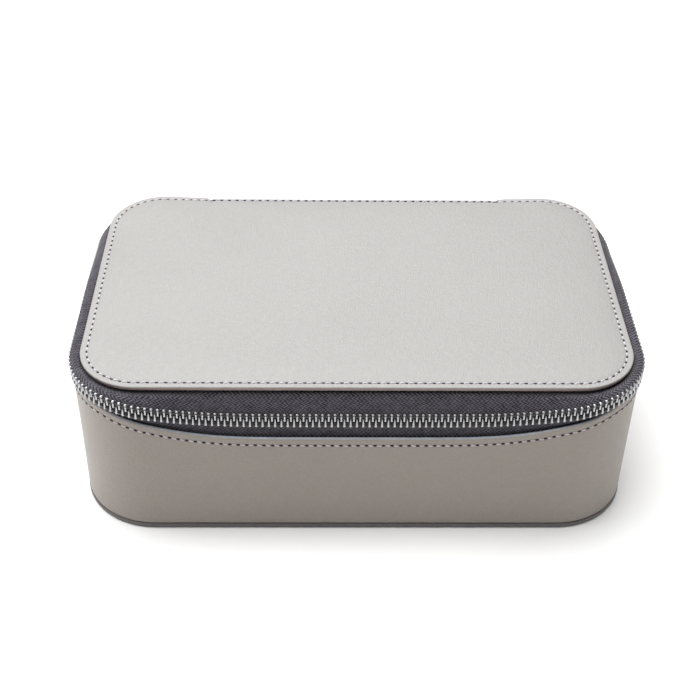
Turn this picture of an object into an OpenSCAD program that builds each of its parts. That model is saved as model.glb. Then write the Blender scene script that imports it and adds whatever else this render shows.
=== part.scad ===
// Travel jewelry case: a stiff leather-covered box with a flat lid, a metal zip round three sides
// and a leather hinge at the back. Origin on the floor under the middle of the body, front at -Y.

/* [Body] */
// Width of the body over the leather wall
body_w = 228; // [216:1:240]
// Depth of the body over the leather wall
body_d = 147; // [140:1:156]
// Radius of the upright corners
corner_r = 31; // [29:0.5:33]
// Height of the rim at the sides
rim_side_z = 62.4; // [62:0.1:62.4]
// Height of the rim in the middle of the front
rim_front_z = 49.9; // [48:0.1:52]
// Height of the rim along the back
rim_back_z = 56.6; // [56:0.1:56.6]
// How far the base panel stands proud of the wall
base_proud = 0.7; // [0:0.1:1.5]

/* [Lid] */
// Width of the lid panel
lid_w = 220.4; // [218:0.2:222]
// Radius of the lid panel's corners
lid_r = 24; // [22:0.5:26]
// Distance from the body's front face back to the lid's front edge
lid_front_gap = 5.8; // [5:0.1:6.4]
// Distance from the body's back face forward to the lid's back edge
lid_back_gap = 4.3; // [4.1:0.1:4.6]
// Height of the lid panel's top face
lid_top_z = 71.6; // [71.4:0.1:72]
// Width of the leather hinge
hinge_w = 134; // [120:1:136]

/* [Layers] */
// Thickness of the wall's leather
leather_t = 1.8; // [1.6:0.1:1.9]
// Thickness of the stiffening board
board_t = 1.5; // [1.2:0.1:1.6]
// Thickness of the suede lining
lining_t = 0.9; // [0.6:0.1:1.1]
// Thickness of the zip's woven tape
tape_t = 0.8; // [0.6:0.1:0.8]

/* [Inside] */
// Height of the compartment walls
divider_top_z = 44; // [36:1:45]
// Height of the foam bed under the ring rolls
ring_bed_top_z = 26; // [20:1:28]

/* [Hidden] */
$fn = 96;

LEATHER = "#b9b5ae";
CHARCOAL = "#4a4747";
SUEDE = "#8d8a92";
TAPE = "#3d3b42";
METAL = "#c9cbd0";
BOARD = "#8f7b63";
FOAM = "#d8d2b8";
GLASS = "#dfe6ea";

// Plan of the body: corner centres at (half_x, half_y)
half_x = body_w / 2 - corner_r;
half_y = body_d / 2 - corner_r;
arc_len = corner_r * PI / 2;
front_y = -body_d / 2;
back_y = body_d / 2;
// Distances round the body's outline, counted from the middle of the front
s_side = half_x + arc_len;
s_back_corner = s_side + 2 * half_y;
s_back = s_back_corner + arc_len;
zip_end_x = 72;
s_zip_end = s_back + half_x - zip_end_x;
// The zip tape hardens into the lid's own motion this far round the back corner
blend_angle = 40;
s_blend = s_back_corner + corner_r * blend_angle * PI / 180;

// Heights of the layers
base_t = 2.4;
wall_z = 2.8;
floor_z = base_t + 2;
floor_lining_t = 1.2;
lid_panel_t = 2;
lid_under_z = lid_top_z - lid_panel_t;
lid_d = body_d - lid_front_gap - lid_back_gap;
lid_shift_y = (lid_front_gap - lid_back_gap) / 2;
inner_inset = leather_t + board_t + lining_t;
inner_x = body_w / 2 - inner_inset;
inner_y = body_d / 2 - inner_inset;

// Zip chain
chain_half = 2.95;
chain_gap = 0.95;
tape_gap = 0.45;
chain_t = 2.2;
front_chain = [-3.3, 57.1];
side_chain = [-0.1, 66.3];
back_chain = [1.0, 60.5];
front_tilt = 11.4;

// Slider and pull, set on the back right corner
slider_angle = 78;
slider_half = 11;
plate_h = 8.8;
crown_out = 36.95;
link_drop = 6.6;

function clamp01(t) = min(1, max(0, t));
function smooth(t) = clamp01(t) * clamp01(t) * (3 - 2 * clamp01(t));
function mix(a, b, t) = a * (1 - t) + b * t;

// The front of the rim dips in a long curve; the back of the sides falls to the back rim.
rise_start = 18;
rise_len = 90;
fall_start = s_side + 38;
fall_len = 50;
function rise(s) = smooth(pow(clamp01((abs(s) - rise_start) / rise_len), 2));
function fall(s) = smooth((abs(s) - fall_start) / fall_len);
function rim_z(s) = mix(mix(rim_front_z, rim_side_z, rise(s)), rim_back_z, fall(s));

// A point on the outline pushed outward by o, at distance s round it (negative to the left)
function corner_point(cy, angle, o) =
    [half_x + (corner_r + o) * cos(angle), cy + (corner_r + o) * sin(angle)];
function right_point(s, o) =
    s < half_x ? [s, front_y - o] :
    s < s_side ? corner_point(-half_y, (s - half_x) / arc_len * 90 - 90, o) :
    s < s_back_corner ? [body_w / 2 + o, s - s_side - half_y] :
    s < s_back ? corner_point(half_y, (s - s_back_corner) / arc_len * 90, o) :
    [half_x - (s - s_back), back_y + o];
function outline_point(s, o) =
    s < 0 ? [-right_point(-s, o)[0], right_point(-s, o)[1]] : right_point(s, o);

// How far outward of the body's outline the lid's edge lies (a negative number)
lid_half_x = lid_w / 2 - lid_r;
lid_front_y = lid_shift_y - lid_d / 2;
lid_back_y = lid_shift_y + lid_d / 2;
function lid_corner_reach(angle, cy, lid_cy) =
    let (q = [lid_half_x - half_x, lid_cy - cy], d = [cos(angle), sin(angle)])
    q * d + sqrt(pow(lid_r, 2) - q * q + pow(q * d, 2)) - corner_r;
function lid_edge(s) =
    let (t = abs(s))
    t < half_x ? -lid_front_gap :
    t < s_side ? lid_corner_reach((t - half_x) / arc_len * 90 - 90, -half_y, lid_front_y + lid_r) :
    t < s_back_corner ? (lid_w - body_w) / 2 :
    t < s_back ? lid_corner_reach((t - s_back_corner) / arc_len * 90, half_y, lid_back_y - lid_r) :
    -lid_back_gap;

// Cross-sections of the zip band, as [outward, height] points, for front, side and back
function chain_centre(s) = mix(mix(front_chain, side_chain, rise(s)), back_chain, fall(s));
function chain_up(s) = let (a = front_tilt * (1 - rise(s))) [-sin(a), cos(a)];
function chain_out(s) = let (a = front_tilt * (1 - rise(s))) [cos(a), sin(a)];
function lower_path(s) = concat([for (i = [0:len(lower_side) - 1])
    mix(mix(lower_front[i], lower_side[i], rise(s)), lower_back[i], fall(s))],
    [chain_centre(s) - chain_up(s) * (chain_half + tape_gap)]);
function upper_path(s) = concat([chain_centre(s) + chain_up(s) * (chain_half + tape_gap)],
    [for (i = [0:len(upper_side) - 1])
        mix(mix(upper_front[i], upper_side[i], rise(s)), upper_back[i], fall(s))],
    [for (q = tape_tail) [lid_edge(s), lid_under_z] + q]);
lower_front = [[-2.35, 43.4], [-2.35, 48.6], [-2.36, 49.9], [-2.45, 50.7],
    [-2.6, 51.5], [-2.7, 52.3], [-2.75, 52.9]];
lower_side = [[-2.35, 55.9], [-2.35, 61.6], [-2.35, 62.5], [-1.95, 62.85],
    [-1.4, 62.9], [-0.9, 62.9], [-0.5, 62.9]];
lower_back = [[-2.35, 50.1], [-2.35, 55.8], [-2.35, 56.7], [-1.95, 57.05],
    [-1.4, 57.1], [-0.7, 57.1], [0.1, 57.1]];
upper_front = [[-4.2, 61.6], [-4.5, 63.2], [-4.85, 64.9], [-5.2, 66.6]];
upper_side = [[-0.9, 69.75], [-1.7, 69.6], [-2.4, 69.35], [-3.0, 69.1]];
upper_back = [[0.7, 64.8], [-0.3, 66.2], [-1.5, 67.5], [-2.8, 68.4]];
// The part of the upper tape sewn under the lid, from the lid's edge and underside
tape_tail = [[0.2, -0.65], [-0.8, -0.6], [-5.4, -0.6]];

// Outline of a strip: its path offset to both sides by half its thickness
function unit(v) = v / norm(v);
function normal_at(p, i) =
    let (a = p[max(0, i - 1)], b = p[min(len(p) - 1, i + 1)], d = unit(b - a)) [-d[1], d[0]];
function strip_section(p, t) = concat(
    [for (i = [0:len(p) - 1]) p[i] + normal_at(p, i) * t / 2],
    [for (i = [len(p) - 1:-1:0]) p[i] - normal_at(p, i) * t / 2]);
function teeth_section(s, side) =
    [for (k = [[chain_gap, 1], [chain_half, 1], [chain_half, -1], [chain_gap, -1]])
        chain_centre(s) + chain_up(s) * side * k[0] + chain_out(s) * side * k[1] * chain_t / 2];

// Sweeps one closed [outward, height] section per station into a solid along the outline
module sweep(stations, sections) {
    n = len(sections[0]);
    last = len(stations) - 1;
    points = [for (i = [0:last]) for (q = sections[i])
        let (p = outline_point(stations[i], q[0])) [p[0], p[1], q[1]]];
    sides = [for (i = [0:last - 1]) for (j = [0:n - 1])
        let (a = i * n + j, b = i * n + (j + 1) % n) each [[a, a + n, b], [b, a + n, b + n]]];
    m = n / 2;
    first_cap = [for (j = [0:m - 2]) each [[j, j + 1, n - 1 - j], [j + 1, n - 2 - j, n - 1 - j]]];
    last_cap = [for (f = first_cap) [f[0], f[2], f[1]] + [last, last, last] * n];
    polyhedron(points, concat(sides, first_cap, last_cap));
}

function stations(from, to, count) = [for (i = [0:count]) from + (to - from) * i / count];

module rounded_plan(w, d, r) {
    square([w, d - 2 * r], center = true);
    square([w - 2 * r, d], center = true);
    for (x = [-1, 1], y = [-1, 1])
        translate([x * (w / 2 - r), y * (d / 2 - r)]) circle(r);
}

module body_plan(inset) {
    rounded_plan(body_w - 2 * inset, body_d - 2 * inset, corner_r - inset);
}

module lid_plan(inset) {
    translate([0, lid_shift_y])
        rounded_plan(lid_w - 2 * inset, lid_d - 2 * inset, lid_r - inset);
}

// Everything above the dipped front of the rim and the falling back of the sides, less a drop
front_reach = half_x + corner_r * sin((rise_start + rise_len - half_x) / arc_len * 90);
function s_of_x(x) = abs(x) < half_x ? abs(x) :
    half_x + asin((abs(x) - half_x) / corner_r) / 90 * arc_len;
dip_steps = 70;
fall_steps = 24;
far_y = 100;
far_z = 90;
cut_from_y = -20;
module above_rim(drop) {
    curve = [for (i = [0:dip_steps]) let (x = front_reach * (2 * i / dip_steps - 1))
        [x, rim_z(s_of_x(x)) - drop]];
    translate([0, cut_from_y, 0]) rotate([90, 0, 0]) linear_extrude(far_y)
        polygon(concat(curve, [[front_reach, far_z], [-front_reach, far_z]]));
    back_curve = [for (i = [0:fall_steps]) let (s = fall_start + fall_len * i / fall_steps)
        [s - s_side - half_y, rim_z(s) - drop]];
    translate([-body_w, 0, 0]) rotate([90, 0, 90]) linear_extrude(2 * body_w)
        polygon(concat(back_curve, [[far_y, rim_back_z - drop], [far_y, far_z],
            [back_curve[0][0], far_z]]));
}

module wall_ring(outer_inset, thickness, low_z, drop) {
    difference() {
        translate([0, 0, low_z]) linear_extrude(rim_side_z - drop - low_z) difference() {
            body_plan(outer_inset);
            body_plan(outer_inset + thickness);
        }
        above_rim(drop);
    }
}

module base_panel() {
    color(CHARCOAL) linear_extrude(base_t) body_plan(-base_proud);
}

module base_board() {
    color(BOARD) translate([0, 0, base_t]) linear_extrude(floor_z - base_t) body_plan(leather_t);
}

module outer_wall() {
    color(LEATHER) wall_ring(0, leather_t, wall_z, 0);
}

wall_board_drop = 8;
module wall_board() {
    color(BOARD) wall_ring(leather_t, board_t, floor_z, wall_board_drop);
}

wall_lining_drop = 1.5;
module wall_lining() {
    color(SUEDE) wall_ring(leather_t + board_t, lining_t, floor_z, wall_lining_drop);
}

module floor_lining() {
    color(SUEDE) translate([0, 0, floor_z]) linear_extrude(floor_lining_t) body_plan(inner_inset);
}

end_gap = 0.1;
zip_stations = stations(-s_zip_end, s_zip_end, 130);
lid_stations = stations(-s_blend, s_blend, 110);
end_stations = stations(s_blend + end_gap, s_zip_end, 14);

module lower_zip_tape() {
    color(TAPE) sweep(zip_stations, [for (s = zip_stations) strip_section(lower_path(s), tape_t)]);
}

module lower_zip_teeth() {
    color(METAL) sweep(zip_stations, [for (s = zip_stations) teeth_section(s, -1)]);
}

module upper_zip_tape() {
    color(TAPE) sweep(lid_stations, [for (s = lid_stations) strip_section(upper_path(s), tape_t)]);
}

module upper_zip_teeth() {
    color(METAL) sweep(lid_stations, [for (s = lid_stations) teeth_section(s, 1)]);
}

module zip_end() {
    color(TAPE) sweep(end_stations, [for (s = end_stations) strip_section(upper_path(s), tape_t)]);
}

module end_teeth() {
    color(METAL) sweep(end_stations, [for (s = end_stations) teeth_section(s, 1)]);
}

module zip_end_right() {
    zip_end();
}

module zip_end_left() {
    mirror([1, 0, 0]) zip_end();
}

module end_teeth_right() {
    end_teeth();
}

module end_teeth_left() {
    mirror([1, 0, 0]) end_teeth();
}

stop_w = 1.6;
stop_t = 3;
stop_h = 6.4;
stop_gap = 0.3;
module zip_end_stops() {
    stop_x = zip_end_x - stop_gap - stop_w / 2;
    color(METAL) for (side = [-1, 1])
        translate([side * stop_x, back_y + back_chain[0], back_chain[1]])
            cube([stop_w, stop_t, stop_h], center = true);
}

// A bent strip of constant width across the hinge, from its [y, z] path
module bent_strip(path, t, w) {
    translate([w / 2, 0, 0]) rotate([90, 0, -90]) mirror([1, 0, 0]) linear_extrude(w)
        polygon(strip_section(path, t));
}

// Hinge: the leather turns down from the lid's edge onto the back wall, and a lining runs inside it.
// Both paths are given inward of the back face and below the lid's top.
hinge_t = 1.2;
hinge_gap = 0.05;
hinge_low_z = 44;
hinge_notch = 3.7;
hinge_lining_t = 0.8;
hinge_lining_low_z = 50.5;
hinge_lining_inset = 2;
hinge_out = back_y + hinge_t / 2 + hinge_gap;
// From where the leather leaves the lid's notch, and where it lies flat on the wall, as [y, z]
hinge_start = [lid_back_y - hinge_notch + 0.1, lid_top_z - 1];
hinge_landing = [[hinge_out - 0.2, lid_top_z - 6.6], [hinge_out, lid_top_z - 9.1]];
hinge_turn = [[-5.1, -1.1], [-2.7, -2], [-0.7, -4]];
hinge_inner_turn = [[-8.4, -4.1], [-7.2, -4.4], [-5, -5.6], [-3.2, -7.8], [-2.5, -11.1]];
function under_lid(points) = [for (p = points) [back_y + p[0], lid_top_z + p[1]]];
module hinge_strip() {
    color(LEATHER) bent_strip(concat([hinge_start], under_lid(hinge_turn), hinge_landing,
        [[hinge_out, hinge_low_z]]), hinge_t, hinge_w);
}

module hinge_lining() {
    inner = under_lid(hinge_inner_turn);
    color(SUEDE) bent_strip(concat(inner, [[inner[4][0], hinge_lining_low_z]]),
        hinge_lining_t, hinge_w - 2 * hinge_lining_inset);
}

// The inside is a bed of ring rolls at the left and three compartments at the right
ring_right_x = -34;
divider_t = 3.2;
fit = 0.15;
cross_x = 38;
inside_z = floor_z + floor_lining_t;

module inside_block(low, high, bottom, top) {
    translate([0, 0, bottom]) linear_extrude(top - bottom) intersection() {
        body_plan(inner_inset + fit);
        translate(low) square(high - low);
    }
}

module ring_bed() {
    color(SUEDE) inside_block([-inner_x, -inner_y], [ring_right_x - fit, inner_y],
        inside_z, ring_bed_top_z);
}

ring_rolls = 7;
roll_pitch = 2 * (inner_y - fit) / ring_rolls;
roll_gap = 0.6;
roll_w = roll_pitch - roll_gap;
roll_h = 17.5;
roll_end_gap = 1;

module ring_roll(i) {
    y = -inner_y + fit + roll_pitch * (i + 0.5);
    color(SUEDE) intersection() {
        inside_block([-inner_x, -inner_y], [ring_right_x - roll_end_gap, inner_y],
            ring_bed_top_z, ring_bed_top_z + roll_h + 1);
        translate([-inner_x, y, ring_bed_top_z]) rotate([90, 0, 90]) linear_extrude(2 * inner_x) {
            translate([-roll_w / 2, 0]) square([roll_w, roll_h - roll_w / 2]);
            translate([0, roll_h - roll_w / 2]) circle(roll_w / 2);
        }
    }
}

module ring_roll_1() { ring_roll(0); }
module ring_roll_2() { ring_roll(1); }
module ring_roll_3() { ring_roll(2); }
module ring_roll_4() { ring_roll(3); }
module ring_roll_5() { ring_roll(4); }
module ring_roll_6() { ring_roll(5); }
module ring_roll_7() { ring_roll(6); }

ring_divider_more = 2;
module ring_divider() {
    color(SUEDE) inside_block([ring_right_x, -inner_y], [ring_right_x + divider_t, inner_y],
        inside_z, divider_top_z + ring_divider_more);
}

module long_divider() {
    color(SUEDE) inside_block([ring_right_x + divider_t + fit, -divider_t / 2],
        [inner_x, divider_t / 2], inside_z, divider_top_z);
}

module cross_divider() {
    color(SUEDE) inside_block([cross_x, -inner_y], [cross_x + divider_t, -divider_t / 2 - fit],
        inside_z, divider_top_z);
}

// Lid: leather panel over a thin foam, a board and a suede lining
notch_side = 0.2;
module lid_panel() {
    notch_w = hinge_w + 2 * notch_side;
    color(LEATHER) difference() {
        translate([0, 0, lid_under_z]) linear_extrude(lid_panel_t) lid_plan(0);
        translate([-notch_w / 2, lid_back_y - hinge_notch, lid_under_z - 1])
            cube([notch_w, 2 * hinge_notch, lid_panel_t + 2]);
    }
}

padding_t = 1.2;
padding_inset = 6;
lid_padding_z = lid_under_z - padding_t;
module lid_padding() {
    color(FOAM) translate([0, 0, lid_padding_z]) linear_extrude(padding_t) lid_plan(padding_inset);
}

lid_board_t = 1.6;
lid_board_inset = 4.6;
lid_board_z = lid_padding_z - lid_board_t;
module lid_board() {
    color(BOARD) translate([0, 0, lid_board_z]) linear_extrude(lid_board_t) lid_plan(lid_board_inset);
}

lid_lining_t = 1;
lid_lining_z = lid_board_z - lid_lining_t;
module lid_lining() {
    color(SUEDE) translate([0, 0, lid_lining_z]) linear_extrude(lid_lining_t) lid_plan(lid_board_inset);
}

// Pocket with its mouth to the front edge of the lid
pocket_low = [14, -38];
pocket_size = [80, 84];
pocket_depth = 6.4;
pocket_t = 0.9;
pocket_z = lid_lining_z - pocket_depth;
module lid_pocket() {
    color(SUEDE) difference() {
        translate([pocket_low[0], pocket_low[1], pocket_z])
            cube([pocket_size[0], pocket_size[1], pocket_depth]);
        translate([pocket_low[0] + pocket_t, pocket_low[1] - 1, pocket_z + pocket_t])
            cube([pocket_size[0] - 2 * pocket_t, pocket_size[1] - pocket_t + 1, pocket_depth]);
    }
}

hem_w = 1.8;
hem_h = 1.4;
hem_gap = 0.1;
module pocket_hem() {
    color(CHARCOAL) translate([pocket_low[0], pocket_low[1] - hem_gap - hem_w, pocket_z])
        cube([pocket_size[0], hem_w, hem_h]);
}

// Mirror: the glass lies in a recess of its frame, behind a lip round the window
mirror_centre = [-48, 2];
mirror_size = [88, 68];
window_r = 4;
frame_edge = 8;
frame_t = 2.4;
frame_lip = 2;
frame_lip_t = 0.8;
glass_t = 1.5;
glass_gap = 0.2;
glass_lift = 0.05;
module mirror_window(wider, height) {
    linear_extrude(height)
        rounded_plan(mirror_size[0] + 2 * wider, mirror_size[1] + 2 * wider, window_r + wider);
}

module mirror_frame() {
    outer = mirror_size + 2 * [frame_edge, frame_edge];
    color(SUEDE) translate([mirror_centre[0], mirror_centre[1], lid_lining_z - frame_t]) difference() {
        linear_extrude(frame_t) rounded_plan(outer[0], outer[1], frame_edge);
        translate([0, 0, -1]) mirror_window(0, frame_t + 2);
        translate([0, 0, frame_lip_t]) mirror_window(frame_lip, frame_t);
    }
}

module mirror_glass() {
    color(GLASS) translate([mirror_centre[0], mirror_centre[1], lid_lining_z - glass_t - glass_lift])
        mirror_window(frame_lip - glass_gap, glass_t);
}

// Slider: curved plates round the back right corner's own centre
module on_corner() {
    translate([half_x, half_y, 0]) rotate([0, 0, slider_angle]) children();
}

module corner_sector(r_in, r_out, low_z, high_z, half_angle) {
    rotate([0, 0, -half_angle]) rotate_extrude(angle = 2 * half_angle)
        translate([r_in, low_z]) square([r_out - r_in, high_z - low_z]);
}

// Its outer plate has a rail along both long edges, a post joins it to the smaller inner plate,
// and the crown is a pin between two ears.
slider_play = 0.35;
plate_t = 1.2;
rail_h = 1.1;
rail_depth = 0.7;
overlap = 0.5;
post_h = 1.2;
post_half = 3;
inner_plate_t = 1.15;
inner_plate_h = 4.4;
ear_t = 1.4;
ear_h = 1.6;
ear_y = 3.2;
pin_r = 0.6;
module zip_slider() {
    chain_r = corner_r + back_chain[0];
    c = back_chain[1];
    low = c - plate_h / 2;
    high = c + plate_h / 2;
    out_r = chain_r + chain_t / 2 + slider_play;
    in_r = chain_r - chain_t / 2 - slider_play;
    ear_r = out_r + plate_t - overlap / 2;
    color(METAL) on_corner() {
        corner_sector(out_r, out_r + plate_t, low, high, slider_half);
        corner_sector(out_r - rail_depth, out_r + overlap, low, low + rail_h, slider_half);
        corner_sector(out_r - rail_depth, out_r + overlap, high - rail_h, high, slider_half);
        corner_sector(in_r - overlap, out_r + overlap, c - post_h / 2, c + post_h / 2, post_half);
        corner_sector(in_r - inner_plate_t, in_r, c - inner_plate_h / 2, c + inner_plate_h / 2,
            slider_half - 1);
        for (side = [-1, 1])
            translate([ear_r, side * ear_y - ear_t / 2, c - ear_h / 2])
                cube([crown_out + pin_r - ear_r, ear_t, ear_h]);
        translate([crown_out, ear_y, c]) rotate([90, 0, 0]) cylinder(h = 2 * ear_y, r = pin_r);
    }
}

module stadium(r, drop) {
    circle(r);
    translate([0, -drop]) circle(r);
    translate([-r, -drop]) square([2 * r, drop]);
}

link_t = 1.6;
link_out_r = 1.9;
link_in_r = 0.78;
module pull_link() {
    color(METAL) on_corner() translate([crown_out, link_t / 2, back_chain[1]]) rotate([90, 0, 0])
        linear_extrude(link_t) difference() {
            stadium(link_out_r, link_drop);
            stadium(link_in_r, link_drop);
        }
}

tab_w = 10;
tab_t = 1.3;
tab_low_z = 24;
tab_straight = 22;
tab_neck_w = 5.2;
tab_hole_r = 1.2;
tab_hole_z = back_chain[1] - link_drop - 1.25;
tab_high_z = tab_hole_z + 2.8;
module pull_tab() {
    straight_z = tab_low_z + tab_w / 2;
    neck_z = straight_z + tab_straight;
    color(LEATHER) on_corner() translate([crown_out - tab_t / 2, 0, 0]) rotate([90, 0, 90])
        linear_extrude(tab_t) difference() {
            union() {
                translate([0, straight_z]) circle(tab_w / 2);
                translate([-tab_w / 2, straight_z]) square([tab_w, tab_straight]);
                translate([-tab_neck_w / 2, neck_z]) square([tab_neck_w, tab_high_z - neck_z]);
            }
            translate([0, tab_hole_z]) circle(tab_hole_r);
        }
}

base_panel();
base_board();
outer_wall();
wall_board();
wall_lining();
floor_lining();
lower_zip_tape();
lower_zip_teeth();
zip_end_stops();
hinge_strip();
hinge_lining();
ring_bed();
ring_roll_1();
ring_roll_2();
ring_roll_3();
ring_roll_4();
ring_roll_5();
ring_roll_6();
ring_roll_7();
ring_divider();
long_divider();
cross_divider();
lid_panel();
lid_padding();
lid_board();
lid_lining();
lid_pocket();
pocket_hem();
mirror_frame();
mirror_glass();
upper_zip_tape();
upper_zip_teeth();
zip_end_left();
zip_end_right();
end_teeth_left();
end_teeth_right();
zip_slider();
pull_link();
pull_tab();
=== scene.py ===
"""Travel jewelry case: stitched leather box with a metal zip round three sides, a leather hinge at the back,
and a suede-lined inside with ring rolls, compartments, a mirror and a slip pocket.
Lengths are in millimetres until a mesh is made, when MM turns them into metres."""
from bisect import bisect_right
import math
import random

import bmesh
import bpy
from mathutils import Matrix, Vector, noise


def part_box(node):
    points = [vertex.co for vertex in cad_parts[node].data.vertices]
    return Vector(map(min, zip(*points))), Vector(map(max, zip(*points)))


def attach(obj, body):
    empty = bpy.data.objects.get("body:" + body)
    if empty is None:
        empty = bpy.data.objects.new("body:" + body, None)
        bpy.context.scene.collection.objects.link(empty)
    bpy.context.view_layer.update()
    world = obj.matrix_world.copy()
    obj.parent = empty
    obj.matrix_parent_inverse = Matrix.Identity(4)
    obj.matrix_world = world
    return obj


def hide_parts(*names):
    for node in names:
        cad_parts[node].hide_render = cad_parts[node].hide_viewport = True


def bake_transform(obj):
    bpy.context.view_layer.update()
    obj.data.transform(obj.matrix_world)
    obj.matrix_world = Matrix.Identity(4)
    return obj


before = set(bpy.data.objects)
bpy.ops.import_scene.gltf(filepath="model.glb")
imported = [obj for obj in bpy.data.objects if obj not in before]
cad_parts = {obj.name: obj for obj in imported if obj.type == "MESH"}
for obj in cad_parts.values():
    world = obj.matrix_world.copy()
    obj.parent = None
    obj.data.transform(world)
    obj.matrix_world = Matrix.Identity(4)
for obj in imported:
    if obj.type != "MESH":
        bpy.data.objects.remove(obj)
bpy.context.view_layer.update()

MM = 0.001


# ---------------------------------------------------------------- sizes taken from the CAD frame

def box_mm(node):
    """The node's lowest and highest corners in millimetres."""
    low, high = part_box(node)
    return low / MM, high / MM


WALL_LOW, WALL_HIGH = box_mm("outer_wall")
LID_LOW, LID_HIGH = box_mm("lid_panel")
BASE_HIGH = box_mm("base_panel")[1]
HINGE_LOW, HINGE_HIGH = box_mm("hinge_strip")
LINING_LOW = box_mm("wall_lining")[0]

CORNER_R = 31.0
HALF_X = WALL_HIGH.x - CORNER_R
HALF_Y = WALL_HIGH.y - CORNER_R
ARC = CORNER_R * math.pi / 2
S_SIDE = HALF_X + ARC
S_BACK_CORNER = S_SIDE + 2 * HALF_Y
S_BACK = S_BACK_CORNER + ARC
S_END = S_BACK + HALF_X
ZIP_END_X = 72.0
S_ZIP_END = S_BACK + HALF_X - ZIP_END_X
BLEND_ANGLE = 40.0  # BLEND_ANGLE = 40.0 # the tape and teeth beside the hinge are split off into pieces of their own from this far round the back corners
S_BLEND = S_BACK_CORNER + CORNER_R * math.radians(BLEND_ANGLE)

FRONT_CORNER, BACK_CORNER = Vector((HALF_X, -HALF_Y)), Vector((HALF_X, HALF_Y))

RIM_SIDE, RIM_FRONT, RIM_BACK = WALL_HIGH.z, 49.9, 56.6
RIM_STITCH_DROP = 3.5  # the rim's stitch line lies this far under its top
LEATHER_T = 1.8
LINING_IN = 4.2  # the suede lining's face, in from the outside of the wall
TAPE_T = 0.7

LID_HALF_X = LID_HIGH.x
LID_FRONT_Y, LID_BACK_Y = LID_LOW.y, LID_HIGH.y
LID_MID_Y = (LID_FRONT_Y + LID_BACK_Y) / 2
LID_HALF_Y = (LID_BACK_Y - LID_FRONT_Y) / 2
LID_R = 24.0
LID_FRONT_CORNER = Vector((LID_HALF_X - LID_R, LID_FRONT_Y + LID_R))
LID_BACK_CORNER = Vector((LID_HALF_X - LID_R, LID_BACK_Y - LID_R))
LID_UNDER, LID_EDGE_TOP = LID_LOW.z, LID_HIGH.z - 0.12

FRONT_CHAIN, SIDE_CHAIN, BACK_CHAIN = Vector((-3.3, 57.1)), Vector((-0.1, 66.3)), Vector((1.0, 60.5))
FRONT_TILT = 11.4
TOOTH_PITCH = 2.45


# ---------------------------------------------------------------- the case's outline and the zip band

def clamp01(t):
    return min(1.0, max(0.0, t))


def smooth(t):
    t = clamp01(t)
    return t * t * (3 - 2 * t)


def mix(a, b, t):
    return a * (1 - t) + b * t


def rise(s):
    """0 in the middle of the front, 1 at the sides: how far the rim has come up out of its dip."""
    return smooth(clamp01((abs(s) - 18) / 90) ** 2)


def fall(s):
    """0 at the front of the sides, 1 at the back: how far the rim has come down to the back's height."""
    return smooth((abs(s) - S_SIDE - 38) / 50)


def rim_z(s):
    return mix(mix(RIM_FRONT, RIM_SIDE, rise(s)), RIM_BACK, fall(s))


def corner_normal(t, start, turn):
    """The outline's normal at distance t, on a corner that begins at start with its normal at angle turn."""
    a = (t - start) / ARC * math.pi / 2 + turn
    return Vector((math.cos(a), math.sin(a)))


def frame_at(s):
    """Point, tangent and outward normal of the body's outline at distance s from the middle of the front."""
    t = abs(s)
    if t < HALF_X:
        p, n = Vector((t, -HALF_Y - CORNER_R)), Vector((0, -1))
    elif t < S_SIDE:
        n = corner_normal(t, HALF_X, -math.pi / 2)
        p = FRONT_CORNER + n * CORNER_R
    elif t < S_BACK_CORNER:
        p, n = Vector((HALF_X + CORNER_R, t - S_SIDE - HALF_Y)), Vector((1, 0))
    elif t < S_BACK:
        n = corner_normal(t, S_BACK_CORNER, 0)
        p = BACK_CORNER + n * CORNER_R
    else:
        p, n = Vector((HALF_X - (t - S_BACK), HALF_Y + CORNER_R)), Vector((0, 1))
    if s < 0:
        p.x, n.x = -p.x, -n.x
    return p, Vector((-n.y, n.x)), n


def on_outline(s, q):
    """The 3D point at [outward, height] q over the outline's point s."""
    p, _, n = frame_at(s)
    return Vector((p.x + n.x * q[0], p.y + n.y * q[0], q[1]))


def lid_corner_reach(normal, corner, lid_corner):
    """How far past the body's rounded corner the lid's own corner reaches along this normal."""
    q = lid_corner - corner
    along = q.dot(normal)
    return along + math.sqrt(LID_R ** 2 - q.length_squared + along ** 2) - CORNER_R


def lid_edge(s):
    """How far outward of the body's outline the lid's edge lies, a negative number."""
    t = abs(s)
    if t < HALF_X:
        return -(LID_FRONT_Y - WALL_LOW.y)
    if t < S_SIDE:
        normal = corner_normal(t, HALF_X, -math.pi / 2)
        return lid_corner_reach(normal, FRONT_CORNER, LID_FRONT_CORNER)
    if t < S_BACK_CORNER:
        return LID_HALF_X - WALL_HIGH.x
    if t < S_BACK:
        return lid_corner_reach(corner_normal(t, S_BACK_CORNER, 0), BACK_CORNER, LID_BACK_CORNER)
    return LID_BACK_Y - WALL_HIGH.y


def chain_centre(s):
    return mix(mix(FRONT_CHAIN, SIDE_CHAIN, rise(s)), BACK_CHAIN, fall(s))


def chain_axes(s):
    """The chain's own up and outward directions, in [outward, height]."""
    a = math.radians(FRONT_TILT) * (1 - rise(s))
    return Vector((-math.sin(a), math.cos(a))), Vector((math.cos(a), math.sin(a)))


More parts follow.
